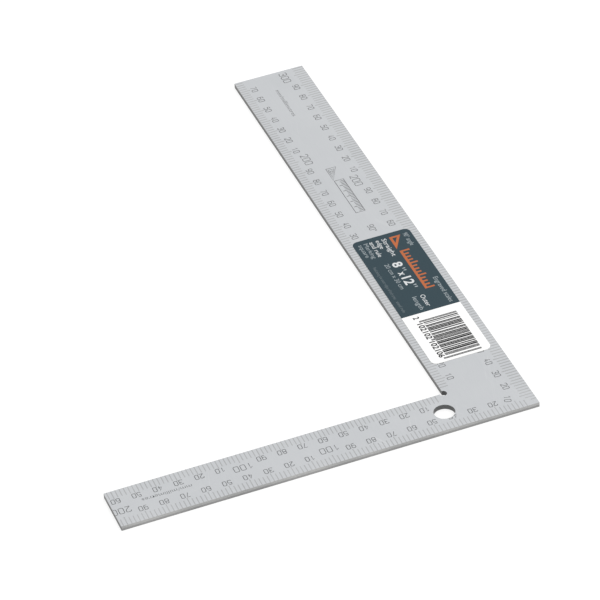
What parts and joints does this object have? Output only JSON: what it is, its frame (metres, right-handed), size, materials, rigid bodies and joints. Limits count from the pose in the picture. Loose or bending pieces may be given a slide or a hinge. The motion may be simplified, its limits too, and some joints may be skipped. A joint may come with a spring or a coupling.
{
  "type": "steel square ruler",
  "caption": "L-shaped flat steel square ruler with engraved millimetre scales along every edge, a hang hole beside the heel and a printed label on the long arm.",
  "frame": {"origin": "middle of the overall rectangle (tongue length by long arm length), on the flat back face", "axes": "+Z out of the engraved front face, +Y along the long arm away from the heel, +X from the tongue's free end towards the heel; the outer edges are at +X (long arm) and -Y (tongue)"},
  "size_m": [0.2032, 0.3048, 0.0027],
  "materials": {
    "blade_steel": "satin",
    "label_adhesive": "satin",
    "label_stock": "satin",
    "label_dark_ink": "satin"
  },
  "bodies": {
    "root": {"blade": "blade_steel", "label_adhesive": "label_adhesive", "label_stock": "label_stock", "label_panel_ink": "label_dark_ink"}
  },
  "joints": []
}
